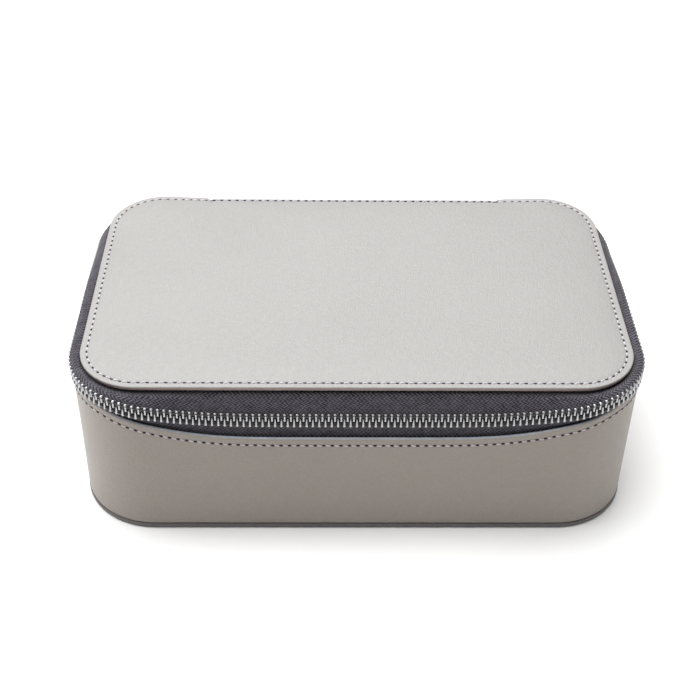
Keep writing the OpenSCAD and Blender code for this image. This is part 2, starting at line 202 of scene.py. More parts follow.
# Where the tapes run between the chain and the piece that they are sewn to, as [outward, height].
LOWER_FRONT = [(-2.35, 43.4), (-2.4, 48.6), (-2.55, 49.9), (-2.66, 50.7),
               (-2.74, 51.5), (-2.8, 52.3), (-2.85, 53.1)]
LOWER_SIDE = [(-2.35, 55.9), (-2.35, 61.6), (-2.3, 62.4), (-1.9, 62.82),
              (-1.3, 62.9), (-0.75, 62.9), (-0.3, 63.05)]
LOWER_BACK = [(-2.35, 50.1), (-2.35, 55.8), (-2.3, 56.6), (-1.9, 57.02),
              (-1.3, 57.1), (-0.4, 57.1), (0.6, 57.15)]
UPPER_FRONT = [(-4.2, 61.6), (-4.5, 63.2), (-4.9, 64.9), (-5.5, 66.6)]
UPPER_SIDE = [(-0.45, 69.45), (-1.1, 69.7), (-2.0, 69.55), (-2.9, 69.15)]
UPPER_BACK = [(0.7, 64.6), (-0.3, 66.1), (-1.5, 67.4), (-2.8, 68.35)]
TAPE_EDGE = 0.5  # the tapes' corded edges meet under the teeth, this far from the chain's middle
BEAD_AT, BEAD_R = 1.5, 1.08
BEAD_STEPS = 12
TUCK_FROM_X, TUCK_TO_X = 71.0, 67.1
S_TAPE_END = S_END - TUCK_TO_X


def blended(s, front, side, back):
    return [mix(mix(Vector(f), Vector(d), rise(s)), Vector(b), fall(s))
            for f, d, b in zip(front, side, back)]


def tucked(s, path):
    """Above the rim the tapes' ends lean inward past the end stops, up to the hinge leather's side."""
    lean = -1.1 * smooth((abs(s) - S_END + TUCK_FROM_X) / (TUCK_FROM_X - TUCK_TO_X))
    return [p + Vector((lean * smooth((p.y - RIM_BACK) / 3), 0)) for p in path]


def lower_path(s):
    c, up = chain_centre(s), chain_axes(s)[0]
    path = blended(s, LOWER_FRONT, LOWER_SIDE, LOWER_BACK)
    return tucked(s, path + [c - up * k for k in (3.0, 2.0, 1.2, TAPE_EDGE)])


def upper_path(s):
    c, up = chain_centre(s), chain_axes(s)[0]
    edge = lid_edge(s)
    path = [c + up * k for k in (TAPE_EDGE, 1.2, 2.0, 2.7)] + blended(s, UPPER_FRONT, UPPER_SIDE, UPPER_BACK)
    under_lid = ((0.7, 1.7), (2.4, 1.45), (4.2, 0.7), (5.4, 0.6))
    return tucked(s, path + [Vector((edge - inward, LID_UNDER - drop)) for inward, drop in under_lid])


def curve_through(points, per=4):
    """A Catmull-Rom curve through the points, with per steps between neighbours."""
    out = []
    last = len(points) - 1
    for i in range(last):
        a, b = points[max(0, i - 1)], points[i]
        c, d = points[i + 1], points[min(last, i + 2)]
        for k in range(per):
            t = k / per
            out.append(0.5 * (2 * b + (c - a) * t + (2 * a - 5 * b + 4 * c - d) * t * t
                              + (3 * b - 3 * c + d - a) * t ** 3))
    return out + [points[-1]]


def strip_section(path, thickness, bead_end=None):
    """A closed outline round a path: out along one side and back along the other.
    bead_end, 0 or -1, is the end of the path that carries the cord the zip's teeth grip."""
    left, right = [], []
    for i, p in enumerate(path):
        d = (path[min(len(path) - 1, i + 1)] - path[max(0, i - 1)]).normalized()
        t = thickness
        if bead_end is not None:
            off = ((p - path[bead_end]).length - BEAD_AT) / BEAD_R
            t = max(t, 2 * BEAD_R * math.sqrt(max(0.0, 1 - off * off)))
        n = Vector((-d.y, d.x)) * t / 2
        left.append(p + n)
        right.append(p - n)
    return left + right[::-1]


def cord_columns(bead_end, count):
    """Material numbers round a tape's section of this many points: 1 over the cord, which is painted near
    black as the shade between the zip's teeth, 0 elsewhere.
    """
    half = count // 2
    if bead_end == 0:
        return [1 if j < BEAD_STEPS or j >= count - 1 - BEAD_STEPS else 0 for j in range(count)]
    return [1 if abs(j - half + 1) <= BEAD_STEPS else 0 for j in range(count)]


# ---------------------------------------------------------------- making meshes

def rework(mesh, change):
    """Runs one bmesh edit on a mesh."""
    bm = bmesh.new()
    bm.from_mesh(mesh)
    change(bm)
    bm.to_mesh(mesh)
    bm.free()


def add_object(name, data):
    piece = bpy.data.objects.new(name, data)
    bpy.context.collection.objects.link(piece)
    return piece


def set_all(target, **values):
    for key, value in values.items():
        setattr(target, key, value)


def belongs(piece, slot, body=None, node=None):
    """Hides the CAD node that the piece stands for, and hangs the piece on the body that it rides on, when
    one is given. The slot is not used.
    """
    if node:
        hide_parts(node)
    if body:
        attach(piece, body)


def make_piece(name, verts, faces, mats, face_mats=None, face_uvs=None):
    mesh = bpy.data.meshes.new(name)
    mesh.from_pydata([tuple(c * MM for c in v) for v in verts], [], faces)
    for m in mats:
        mesh.materials.append(m)
    if face_mats:
        mesh.polygons.foreach_set("material_index", face_mats)
    if face_uvs:
        layer = mesh.uv_layers.new(name="cloth")
        layer.data.foreach_set("uv", [c for uv in face_uvs for corner in uv for c in corner])
    mesh.polygons.foreach_set("use_smooth", [True] * len(mesh.polygons))
    rework(mesh, lambda bm: bmesh.ops.recalc_face_normals(bm, faces=bm.faces))
    mesh.update()
    return add_object(name, mesh)


def grid_faces(rows, cols, close_rows, close_cols):
    faces = []
    for i in range(rows if close_rows else rows - 1):
        for j in range(cols if close_cols else cols - 1):
            a, b = i * cols + j, i * cols + (j + 1) % cols
            c, d = ((i + 1) % rows) * cols + (j + 1) % cols, ((i + 1) % rows) * cols + j
            faces.append((a, b, c, d))
    return faces


def join_rings(faces, base, rings, around, closed=False):
    """Adds the faces over equal rings of points from index base on, with both ends capped unless closed."""
    faces += [tuple(base + corner for corner in face) for face in grid_faces(rings, around, closed, True)]
    if not closed:
        faces += [tuple(range(start, start + around)) for start in (base, base + (rings - 1) * around)]


def end_caps(rows, cols):
    """Faces over both ends of an open sweep, between the two sides of its section."""
    return [(base + j, base + j + 1, base + cols - 2 - j, base + cols - 1 - j)
            for base in (0, (rows - 1) * cols) for j in range(cols // 2 - 1)]


def flat(rows):
    return [p for row in rows for p in row]


def grid_uvs(rows, close_rows, du, dv):
    """Corner coordinates in metres for grid_faces: du[i] along the sweep, dv[i][j] across it."""
    uvs = []
    for i in range(rows if close_rows else rows - 1):
        here, there = dv[i], dv[(i + 1) % rows]
        for j in range(len(here) - 1):
            uvs.append([(du[i], here[j]), (du[i], here[j + 1]),
                        (du[i + 1], there[j + 1]), (du[i + 1], there[j])])
    return uvs


def lengths(points, closed=False):
    out = [0.0]
    pairs = list(zip(points, points[1:] + (points[:1] if closed else [])))
    for a, b in pairs[: len(points) if closed else len(points) - 1]:
        out.append(out[-1] + (Vector(b) - Vector(a)).length)
    return out


def along_run(run, d):
    """Where distance d falls on a polyline: the point before it, and how far on to the next, 0 to 1."""
    low = bisect_right(run, d, 1, len(run) - 1) - 1
    return low, (d - run[low]) / (run[low + 1] - run[low] or 1e-9)


def around_section(section):
    """Distance round a closed section at each of its points, and once more where it closes."""
    return lengths(section, True)


def across_strip(section, from_end):
    """Distance across a strip from one of its long edges, for the points of strip_section."""
    one = lengths(section[:len(section) // 2])
    if from_end:
        one = [one[-1] - d for d in one]
    return one + one[::-1] + [one[0]]


def swept(name, stations, section, mats, closed=False, col_mats=None, measure=around_section):
    """Sweeps a closed [outward, height] section along the outline, with its ends capped when it is open."""
    sections = [section(s) for s in stations]
    rows = [[on_outline(s, q) for q in sec] for s, sec in zip(stations, sections)]
    n, cols = len(rows), len(rows[0])
    faces = grid_faces(n, cols, closed, True)
    du = [d * MM for d in lengths([row[0] for row in rows], closed)]
    dv = [[d * MM for d in measure(sec)] for sec in sections]
    uvs = grid_uvs(n, closed, du, dv)
    face_mats = [col_mats[k % cols] if col_mats else 0 for k in range(len(faces))]
    if not closed:
        caps = end_caps(n, cols)
        faces += caps
        uvs += [[(0, 0)] * 4] * len(caps)
        face_mats += [face_mats[0]] * len(caps)
    return make_piece(name, flat(rows), faces, mats, face_mats, uvs)


def spread(low, high, count):
    return [low + (high - low) * i / count for i in range(count + 1)]


def circle(count):
    """The cosine and sine of this many even steps round a circle."""
    return [(math.cos(a), math.sin(a)) for a in (2 * math.pi * k / count for k in range(count))]


def rounded_loop(half_x, half_y, r, centre_y, z):
    """Points round a rounded rectangle, counted the same way for any size."""
    in_x, in_y, in_corner = 56, 34, 20
    r = max(r, 0.05)
    ax, ay = half_x - r, half_y - r
    out = []
    for cx, cy, start, side, reach, count in ((ax, -ay, -90, (0, 1, 0), 2 * ay, in_y),
                                              (ax, ay, 0, (-1, 0, 0), 2 * ax, in_x),
                                              (-ax, ay, 90, (0, -1, 0), 2 * ay, in_y),
                                              (-ax, -ay, 180, (1, 0, 0), 2 * ax, in_x)):
        for i in range(in_corner + 1):
            a = math.radians(start + 90 * i / in_corner)
            p = Vector((cx + r * math.cos(a), centre_y + cy + r * math.sin(a), z))
            out.append(p)
        out += [p + Vector(side) * reach * i / count for i in range(1, count)]
    return out


def stacked_loops(name, loops, mats, loop_mats=None):
    """A closed skin through a stack of equal loops, with flat faces over the first and last."""
    cols = len(loops[0])
    faces = []
    join_rings(faces, 0, len(loops), cols)
    face_mats = [loop_mats[k // cols] if loop_mats else 0 for k in range(len(faces) - 2)]
    face_mats += [face_mats[0], face_mats[-1]]
    return make_piece(name, flat(loops), faces, mats, face_mats)


def arc_profile(inset, z, r, start, stop, steps=5):
    """Points of an arc in [inset, height], for rolled edges."""
    return [(inset - r * math.cos(math.radians(a)), z + r * math.sin(math.radians(a)))
            for a in spread(start, stop, steps)]


# ---------------------------------------------------------------- materials

class Nodes:
    """A small helper for building one material's node tree."""

    def __init__(self, name):
        self.material = bpy.data.materials.new(name)
        self.material.use_nodes = True
        self.tree = self.material.node_tree
        self.shader = self.tree.nodes["Principled BSDF"]

    def feed(self, socket, value):
        """Links a node's output to the socket, or sets the socket to a plain value."""
        if isinstance(value, bpy.types.NodeSocket):
            self.tree.links.new(value, socket)
        else:
            socket.default_value = value

    def add(self, kind, values=None, **settings):
        node = self.tree.nodes.new("ShaderNode" + kind)
        set_all(node, **settings)
        for key, value in (values or {}).items():
            self.feed(node.inputs[key], value)
        return node

    def coords(self, scale=(1, 1, 1)):
        source = self.add("TexCoord").outputs["Object"]
        return self.add("Mapping", {"Vector": source, "Scale": scale}).outputs["Vector"]

    def noise(self, vector, scale, detail=3.0, roughness=0.5):
        values = {"Vector": vector, "Scale": scale, "Detail": detail, "Roughness": roughness}
        return self.add("TexNoise", values).outputs["Fac"]

    def math(self, operation, a, b=0.0):
        return self.add("Math", {0: a, 1: b}, operation=operation).outputs[0]

    def plus(self, a, b):
        return self.math("ADD", a, b)

    def times(self, a, b):
        return self.math("MULTIPLY", a, b)

    def zigzag(self, value):
        """Goes from 0.5 down to 0 and back, once for each whole number."""
        return self.math("ABSOLUTE", self.math("SUBTRACT", self.math("FRACT", value), 0.5))

    def ramp(self, fac, low, high, to_low=0.0, to_high=1.0):
        values = {"Value": fac, "From Min": low, "From Max": high, "To Min": to_low, "To Max": to_high}
        return self.add("MapRange", values).outputs["Result"]

    def blend(self, fac, a, b):
        return self.add("Mix", {0: fac, 6: a, 7: b}, data_type="RGBA").outputs[2]

    def bump(self, height, distance, strength=1.0, under=None):
        values = {"Height": height, "Distance": distance, "Strength": strength}
        if under is not None:
            values["Normal"] = under
        return self.add("Bump", values).outputs["Normal"]

    def set(self, **inputs):
        for key, value in inputs.items():
            self.feed(self.shader.inputs[key.replace("_", " ")], value)
        return self.material


def srgb(r, g, b):
    """Linear colour from display values out of 255."""
    return tuple(((c / 255 + 0.055) / 1.055) ** 2.4 for c in (r, g, b)) + (1.0,)


def leather(name, colour, dark, roughness):
    """Fine-grained leather: pebbled cells over creases, with a little uneven dye and polish."""
    n = Nodes(name)
    at = n.coords()
    wander = n.add("TexNoise", {"Vector": at, "Scale": 260.0, "Detail": 2.0}).outputs["Color"]
    bent = n.add("VectorMath", {0: wander, 1: (0.0011, 0.0011, 0.0011)}, operation="MULTIPLY").outputs[0]
    grain_at = n.add("VectorMath", {0: at, 1: bent}, operation="ADD").outputs[0]
    cells = n.add("TexVoronoi", {"Vector": grain_at, "Scale": 950.0}, feature="DISTANCE_TO_EDGE")
    pebble = n.ramp(cells.outputs["Distance"], 0.0, 0.3)
    pores = n.noise(at, 3200.0, 2.0, 0.6)
    creases = n.noise(at, 520.0, 4.0, 0.6)
    cloud = n.noise(at, 14.0)
    shade = n.plus(n.times(n.ramp(cloud, 0.3, 0.7), 0.3), n.times(pebble, 0.4))
    shade = n.plus(shade, n.times(n.ramp(creases, 0.3, 0.7), 0.3))
    normal = n.bump(creases, 0.0006, 0.4)
    normal = n.bump(n.plus(n.times(pebble, 0.6), n.times(pores, 0.3)), 0.00018, 0.65, normal)
    polish = n.plus(cloud, n.times(pores, 0.4))
    return n.set(Base_Color=n.blend(shade, dark, colour), Normal=normal,
                 Roughness=n.ramp(polish, 0.3, 1.0, roughness - 0.06, roughness + 0.1),
                 Specular_IOR_Level=0.42, Sheen_Weight=0.08, Sheen_Roughness=0.4)


def shaded(colour, share):
    """The colour at this share of its brightness."""
    return tuple(c * share for c in colour[:3]) + (1.0,)


def edge_paint(name, colour, roughness=0.5):
    """The painted cut edge of the leather, a little uneven."""
    n = Nodes(name)
    tone = n.ramp(n.noise(n.coords((1, 1, 6)), 350.0), 0.25, 0.75)
    normal = n.bump(n.noise(n.coords(), 900.0), 0.00012, 0.5)
    return n.set(Base_Color=n.blend(tone, shaded(colour, 0.72), colour), Roughness=roughness, Normal=normal)


def herringbone(name, colour, dark):
    """Woven tape: V-shaped ribs that run along the tape's length, from its own cloth coordinates."""
    column_width, rib_pitch, warp_pitch = 0.0019, 0.00175, 0.00037
    n = Nodes(name)
    split = n.add("SeparateXYZ", {"Vector": n.add("UVMap", uv_map="cloth").outputs["UV"]})
    along, across = split.outputs["X"], split.outputs["Y"]
    fold = n.zigzag(n.times(across, 1 / column_width))
    rib = n.zigzag(n.plus(n.times(along, 1 / rib_pitch), n.times(fold, 2.1)))
    weave = n.plus(n.times(rib, 1.8), n.times(n.zigzag(n.times(across, 1 / warp_pitch)), 0.25))
    fuzz = n.noise(n.coords(), 2600.0, 3.0, 0.6)
    worn = n.noise(n.coords(), 420.0, 2.0)
    tone = n.plus(n.ramp(weave, 0.4, 0.7, 0.0, 0.75), n.times(n.ramp(worn, 0.3, 0.7), 0.35))
    normal = n.bump(n.plus(weave, n.times(fuzz, 0.3)), 0.0005, 0.8)
    return n.set(Base_Color=n.blend(tone, dark, colour), Roughness=0.82, Normal=normal,
                 Sheen_Weight=0.1, Sheen_Roughness=0.45, Specular_IOR_Level=0.2)


def suede(name, colour, dark):
    """Brushed microsuede: short nap with soft lighter and darker strokes."""
    n = Nodes(name)
    nap = n.noise(n.coords(), 2400.0, 4.0, 0.7)
    stroke = n.noise(n.coords((1, 1.9, 1.4)), 62.0, 7.0, 0.68)
    tone = n.plus(n.ramp(stroke, 0.25, 0.75, 0.0, 0.6), n.times(nap, 0.5))
    return n.set(Base_Color=n.blend(tone, dark, colour), Roughness=0.92, Normal=n.bump(nap, 0.00025, 0.7),
                 Sheen_Weight=0.7, Sheen_Roughness=0.35, Specular_IOR_Level=0.15)


def polished_metal(name, colour, roughness):
    """Nickel-plated metal with fine scuffs."""
    n = Nodes(name)
    at = n.coords()
    scuff = n.noise(n.coords((1, 1, 7)), 900.0, 4.0, 0.6)
    tone = n.noise(at, 300.0)
    return n.set(Base_Color=n.blend(tone, shaded(colour, 0.8), colour), Metallic=1.0,
                 Roughness=n.ramp(scuff, 0.3, 0.75, roughness - 0.05, roughness + 0.14),
                 Normal=n.bump(n.noise(at, 1500.0, 2.0), 0.00003, 0.4))


def thread_material(name, colour, dark):
    """Twisted sewing thread."""
    n = Nodes(name)
    twist = n.noise(n.coords(), 2800.0, 2.0)
    return n.set(Base_Color=n.blend(n.ramp(twist, 0.3, 0.7), dark, colour), Roughness=0.55,
                 Normal=n.bump(twist, 0.0001, 0.6), Sheen_Weight=0.3, Sheen_Roughness=0.4)


# Near-black colour for the needle holes: painted shade, where light doesn't reach into the hole.
def hole_shade_paint(name):
    n = Nodes(name)
    tone = n.noise(n.coords(), 1500.0, 2.0)
    return n.set(Base_Color=n.blend(tone, srgb(20, 16, 20), srgb(42, 35, 40)), Roughness=0.9)


def ribbed_elastic(name, colour, dark):
    n = Nodes(name)
    split = n.add("SeparateXYZ", {"Vector": n.coords()})
    rib = n.zigzag(n.times(split.outputs["X"], 900.0))
    return n.set(Base_Color=n.blend(n.ramp(rib, 0.0, 0.5), dark, colour), Roughness=0.8,
                 Normal=n.bump(rib, 0.0003, 0.8), Sheen_Weight=0.3)


def mirror_surface(name):
    n = Nodes(name)
    haze = n.noise(n.coords(), 60.0, 3.0)
    return n.set(Base_Color=n.blend(haze, srgb(226, 232, 234), srgb(238, 242, 243)), Metallic=1.0,
                 Roughness=n.ramp(haze, 0.3, 0.7, 0.015, 0.035))


def fibre_board(name, colour, dark):
    n = Nodes(name)
    flecks = n.noise(n.coords((1, 1, 3)), 500.0, 4.0, 0.65)
    return n.set(Base_Color=n.blend(n.ramp(flecks, 0.35, 0.65), dark, colour), Roughness=0.85,
                 Normal=n.bump(flecks, 0.0002, 0.5))


def pale_floor(name):
    n = Nodes(name)
    mottle = n.noise(n.coords(), 3.0, 3.0)
    return n.set(Base_Color=n.blend(mottle, (0.93, 0.93, 0.93, 1), (0.95, 0.95, 0.95, 1)), Roughness=0.75,
                 Specular_IOR_Level=0.2)


LEATHER = leather("grey_leather", srgb(160, 158, 156), srgb(149, 147, 145), 0.38)
# The walls are the lid's grey leather painted darker: painted shade on the upright walls, which get less of
# the light from above.
WALL_LEATHER_SHADED = leather("wall_leather_painted_shade", srgb(150, 142, 134), srgb(140, 132, 124), 0.42)
LEATHER_EDGE = edge_paint("leather_edge", srgb(142, 127, 122))
# Edge paint on the rim, made lighter and bluer than the wall as a painted sheen on its upward face.
RIM_EDGE_AND_SHEEN = edge_paint("rim_edge_paint_and_sheen", srgb(154, 159, 167), 0.3)
# Near-black paint inside the rim: painted shade in the gap between the rim and the zip tape.
INNER_EDGE_SHADE = edge_paint("inner_edge_painted_shade", srgb(42, 38, 42), 0.6)
BASE_LEATHER = leather("base_leather", srgb(110, 105, 103), srgb(90, 85, 84), 0.5)
TAPE = herringbone("zip_tape", srgb(99, 96, 104), srgb(30, 28, 34))
# The cord is painted near black, far darker than the tape: painted shade in the gaps between the zip's
# teeth.
CORD_PAINTED_SHADE = thread_material("zip_cord_painted_shade", srgb(34, 31, 36), srgb(14, 12, 15))
SUEDE = suede("grey_suede", srgb(140, 137, 146), srgb(104, 101, 110))
METAL = polished_metal("zip_nickel", (0.47, 0.47, 0.48, 1.0), 0.25)
THREAD = thread_material("pale_thread", srgb(214, 208, 214), srgb(162, 154, 165))
RIM_THREAD = thread_material("rim_thread", srgb(208, 199, 199), srgb(162, 153, 157))
HOLE_SHADE = hole_shade_paint("needle_hole_shade")
ELASTIC = ribbed_elastic("elastic", srgb(70, 68, 76), srgb(40, 38, 44))
MIRROR = mirror_surface("mirror")
BOARD = fibre_board("fibre_board", srgb(150, 132, 108), srgb(110, 94, 74))
FOAM = fibre_board("foam", srgb(226, 220, 196), srgb(204, 196, 168))


# ---------------------------------------------------------------- stitches

FINE_THREAD = 0.24  # radius of the thread in the suede, where the leather's is 0.38


def capsule(at, along, across, up, length, radius, verts, faces):
    """One stitch: a rounded thread that dives at both ends."""
    steps, around = 6, 7
    base = len(verts)
    for t in spread(-1, 1, steps):
        r = radius * math.sqrt(max(0.06, 1 - abs(t) ** 3.2))
        sink = -0.22 * abs(t) ** 4
        centre = at + along * (t * length / 2) + up * (sink + radius * 0.35)
        verts += [centre + across * (r * c) + up * (r * 0.8 * s) for c, s in circle(around)]
    join_rings(faces, base, steps + 1, around)


def needle_hole_shade(at, along, across, up, radius, verts, faces):
    """Painted shade in the needle hole between two stitches: a thin dark button that stands 0.1 mm proud to
    show.
    """
    around = 8
    base = len(verts)
    for long, wide, height in ((1.25, 1, -0.1), (1, 0.8, 0.1)):
        verts += [at + along * (radius * long * c) + across * (radius * wide * s) + up * height
                  for c, s in circle(around)]
    join_rings(faces, base, 2, around)


def stitches(name, points, ups, pitch, slot, body, slant=0.0, length=2.2, radius=0.38, seed=1,
             thread=THREAD):
    """Sews even stitches along a polyline, as one piece of thread and one of dark buttons painted as the
    shade in the needle holes. ups are the surface's normals at the points, or one normal for them all."""
    if isinstance(ups, Vector):
        ups = [ups] * len(points)
    rng = random.Random(seed)
    run = lengths(points)
    count = max(1, round(run[-1] / pitch))
    step = run[-1] / count
    threads, holes = ([], []), ([], [])

    def place(d):
        low, t = along_run(run, d)
        along = (points[low + 1] - points[low]).normalized()
        up = mix(ups[low], ups[low + 1], t).normalized()
        return mix(points[low], points[low + 1], t), along, up, up.cross(along).normalized()

    for k in range(count):
        at, along, up, across = place((k + 0.5) * step)
        turn = math.radians(slant + rng.uniform(-3, 3))
        lean = along * math.cos(turn) + across * math.sin(turn)
        side = up.cross(lean).normalized()
        capsule(at, lean, side, up, length * rng.uniform(0.95, 1.05), radius, *threads)
        at, along, up, across = place(k * step)
        needle_hole_shade(at, along, across, up, radius * 1.85, *holes)
    for suffix, (verts, faces), mat in (("", threads, thread), ("_hole_shade", holes, HOLE_SHADE)):
        belongs(make_piece(name + suffix, verts, faces, [mat]), slot, body)


# ---------------------------------------------------------------- the body's shell

def outer_wall():
    """The leather wall, with its rolled rim, a stitch groove and a rim that dips at the front."""
    def section(s):
        top = rim_z(s)
        low = WALL_LOW.z
        groove = top - RIM_STITCH_DROP
        soft = 0.12 * noise.noise(Vector((s * 0.02, 3.1, 0)))
        outer = [(-0.6, low), (-0.15, low + 0.1), (-0.02, low + 0.5), (0, low + 2)]
        outer += [(soft * math.sin(math.pi * t), mix(low + 2, groove - 2.2, t)) for t in spread(0, 1, 8)[1:]]
        outer += [(0, groove - 1.1), (-0.06, groove - 0.5), (-0.16, groove), (-0.06, groove + 0.5),
                  (0.02, groove + 1.2), (0.02, top - 1.2), (-0.02, top - 0.6), (-0.14, top - 0.25),
                  (-0.4, top - 0.04)]
        rim = [(-0.7, top), (-1.1, top), (-1.4, top - 0.04), (-1.66, top - 0.25), (-1.78, top - 0.6)]
        inner = [(-LEATHER_T, top - 3), (-LEATHER_T, mix(low, top, 0.4)),
                 (-LEATHER_T, low + 0.3), (-1.2, low)]
        return [Vector(p) for p in outer + rim + inner]

    # The paint starts 2 points before the rim's 5, and 4 of the inside follow them in near-black paint:
    # painted shade in the gap between the rim and the zip tape.
    cols = len(section(0))
    painted = cols - 4 - 5 - 2
    col_mats = [0] * painted + [1] * 3 + [2] * 4 + [0] * (cols - painted - 7)
    wall = swept("wall_leather_painted_shade", spread(-S_END, S_END, 640)[:-1], section,
                 [WALL_LEATHER_SHADED, RIM_EDGE_AND_SHEEN, INNER_EDGE_SHADE], closed=True, col_mats=col_mats)
    belongs(wall, "leather", "case", "outer_wall")

    hinge_s = S_END - HINGE_HIGH.x - 1
    run = spread(-hinge_s, hinge_s, 900)
    points = [on_outline(s, (-0.12, rim_z(s) - RIM_STITCH_DROP)) for s in run]
    ups = [Vector((*frame_at(s)[2], 0)) for s in run]
    stitches("rim_stitches", points, ups, 3.35, "leather", "case", slant=-10, length=2.1, seed=3,
             thread=RIM_THREAD)


def base_panel():
    """The base, a leather-wrapped board with a rolled edge."""
    top, r, set_back = BASE_HIGH.z, 0.9, 0.5
    profile = [(6, 0), (1.4, 0.0)] + arc_profile(r, r, r, -80, 0, 4) + [(0, top - r)]
    profile += arc_profile(r, top - r, r, 0, 80, 4)[1:] + [(2.6, top), (3.2, top - 0.12), (5.0, top - 0.12)]
    loops = []
    for inset, z in profile:
        back = inset + set_back
        corner = CORNER_R + BASE_HIGH.x - WALL_HIGH.x - back
        loops.append(rounded_loop(BASE_HIGH.x - back, BASE_HIGH.y - back, corner, 0, z))
    base = stacked_loops("base_leather_panel", loops, [BASE_LEATHER])
    belongs(base, "base_leather", "case", "base_panel")


# ---------------------------------------------------------------- lid

LID_CROWN = 1.35
LID_STITCH_IN = 2.75  # the lid's stitch line lies this far in from its edge
TONGUE_Y = 65.5


def lid_height(inset):
    """Top of the lid's leather at this distance in from its edge: a stitch dimple, then a soft crown."""
    dimple = -0.2 * math.exp(-((inset - LID_STITCH_IN) / 0.55) ** 2)
    crown = LID_CROWN * (1 - math.exp(-max(0, inset - 2.0) / 7.0))
    return LID_EDGE_TOP + dimple + crown


def shaped_lid(p):
    """The lid's back edge dips under the hinge leather in the middle, and its back corners lift a little."""
    p = p.copy()
    lift = 0.5 * math.exp(-((abs(p.x) - 94) / 14) ** 2) * smooth((p.y - 38) / 26)
    p.z += lift
    k = 1 - smooth((abs(p.x) - HINGE_HIGH.x + 0.4) / 1.4)
    if p.y > 63 and k > 0:
        y = min(p.y, mix(p.y, TONGUE_Y + 0.6, k))
        p.z -= k * 0.09 * max(0.0, y - 63) ** 1.8
        p.y = y
    return p


def lid_loop(inset, z):
    return rounded_loop(LID_HALF_X - inset, LID_HALF_Y - inset, LID_R - inset, LID_MID_Y, z)


def lid_panel():
    """The lid's leather, with a rolled and painted edge, and its stitch line."""
    edge_r = 0.4
    profile = [(7, LID_UNDER + 0.25), (2.2, LID_UNDER + 0.2), (0.7, LID_UNDER + 0.02),
               (0.25, LID_UNDER + 0.12), (0.04, LID_UNDER + 0.4), (0, LID_EDGE_TOP - edge_r)]
    profile += arc_profile(edge_r, LID_EDGE_TOP - edge_r, edge_r, 0, 90, 6)[1:]
    profile += [(i, lid_height(i)) for i in (1.0, 1.4, 1.7, 2.0, 2.25, 2.5, 2.75, 3.0, 3.25, 3.6, 4.0, 4.5,
                                             5, 5.6, 6.3, 7, 8, 9.5, 12, 15, 18.5, 22, 27, 33, 40, 48,
                                             57, 64)]
    loops = [[shaped_lid(p) for p in lid_loop(inset, z)] for inset, z in profile]
    loop_mats = [1] * 5 + [0] * (len(loops) - 6)
    panel = stacked_loops("lid_leather", loops, [LEATHER, LEATHER_EDGE], loop_mats)
    belongs(panel, "leather", "lid", "lid_panel")

    loop = lid_loop(LID_STITCH_IN, lid_height(LID_STITCH_IN) - 0.02)
    loop = [p + Vector((0, 0, shaped_lid(p).z - p.z if abs(p.x) > HINGE_HIGH.x else 0)) for p in loop]
    stitches("lid_stitches", loop + loop[:1], Vector((0, 0, 1)), 3.56, "leather", "lid", slant=9, seed=5)


# ---------------------------------------------------------------- zip

def tape_piece(name, stations, path, bead_end):
    def section(s):
        return strip_section(curve_through(path(s)), TAPE_T, bead_end)

    col_mats = cord_columns(bead_end, len(section(0)))
    return swept(name, stations, section, [TAPE, CORD_PAINTED_SHADE], col_mats=col_mats,
                 measure=lambda outline: across_strip(outline, bead_end != 0))


def zip_tapes():
    lower = tape_piece("lower_tape", spread(-S_TAPE_END, S_TAPE_END, 560), lower_path, -1)
    belongs(lower, "zip_tape", "case", "lower_zip_tape")
    upper = tape_piece("upper_tape", spread(-S_BLEND, S_BLEND, 440), upper_path, 0)
    belongs(upper, "zip_tape", "lid", "upper_zip_tape")
    for side, node in ((1, "zip_end_right"), (-1, "zip_end_left")):
        end = tape_piece(node + "_tape", spread(side * S_BLEND, side * S_TAPE_END, 70), upper_path, 0)
        belongs(end, "zip_tape", node=node)
        bend_zip_end(end)


def bend_zip_end(piece):
    """Bakes the piece's transform into its mesh. The chain's point at the slider is worked out but not used.
    """
    chain = at_corner(CHAIN_R, 0, BACK_CHAIN.y)
    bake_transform(piece)


# Levels up a tooth, as [up from the chain's middle, half width, half thickness], its head first.
UPPER_TOOTH = [(-0.62, 0.3, 0.5), (-0.5, 0.5, 0.88), (-0.25, 0.6, 1.06), (0.05, 0.58, 1.1),
               (0.4, 0.46, 1.04), (1.1, 0.48, 1.08), (1.75, 0.54, 1.14), (1.95, 0.5, 1.12),
               (2.1, 0.38, 1.0), (2.24, 0.54, 1.2), (2.4, 0.66, 1.3), (2.58, 0.7, 1.32),
               (2.84, 0.68, 1.3), (3.0, 0.6, 1.16), (3.08, 0.42, 0.88)]
LOWER_TOOTH = [(-0.62, 0.24, 0.45), (-0.5, 0.36, 0.8), (-0.2, 0.42, 1.0), (0.2, 0.4, 1.06),
               (0.8, 0.44, 1.08), (1.5, 0.54, 1.14), (2.1, 0.64, 1.2), (2.6, 0.72, 1.22),
               (2.84, 0.68, 1.1), (2.95, 0.4, 0.7)]


def tooth(s, side, verts, faces):
    """One zip tooth: rounded legs over the tape, a narrow waist, and a head past the chain's middle."""
    around = 12
    p, tangent, normal = frame_at(s)
    c = chain_centre(s)
    up2, out2 = chain_axes(s)
    n3 = Vector((*normal, 0))
    z3 = Vector((0, 0, 1))
    origin = Vector((p.x, p.y, 0)) + n3 * c[0] + z3 * c[1]
    up = (n3 * up2[0] + z3 * up2[1]) * side
    out = n3 * out2[0] + z3 * out2[1]
    along = Vector((*tangent, 0))
    base = len(verts)
    levels = UPPER_TOOTH if side > 0 else LOWER_TOOTH
    for b, half_w, half_t in levels:
        for ca, sa in circle(around):
            x = math.copysign(abs(ca) ** 0.6, ca) * half_w * 0.86
            y = math.copysign(abs(sa) ** 0.6, sa) * half_t
            verts.append(origin + along * x + up * b + out * y)
    join_rings(faces, base, len(levels), around)


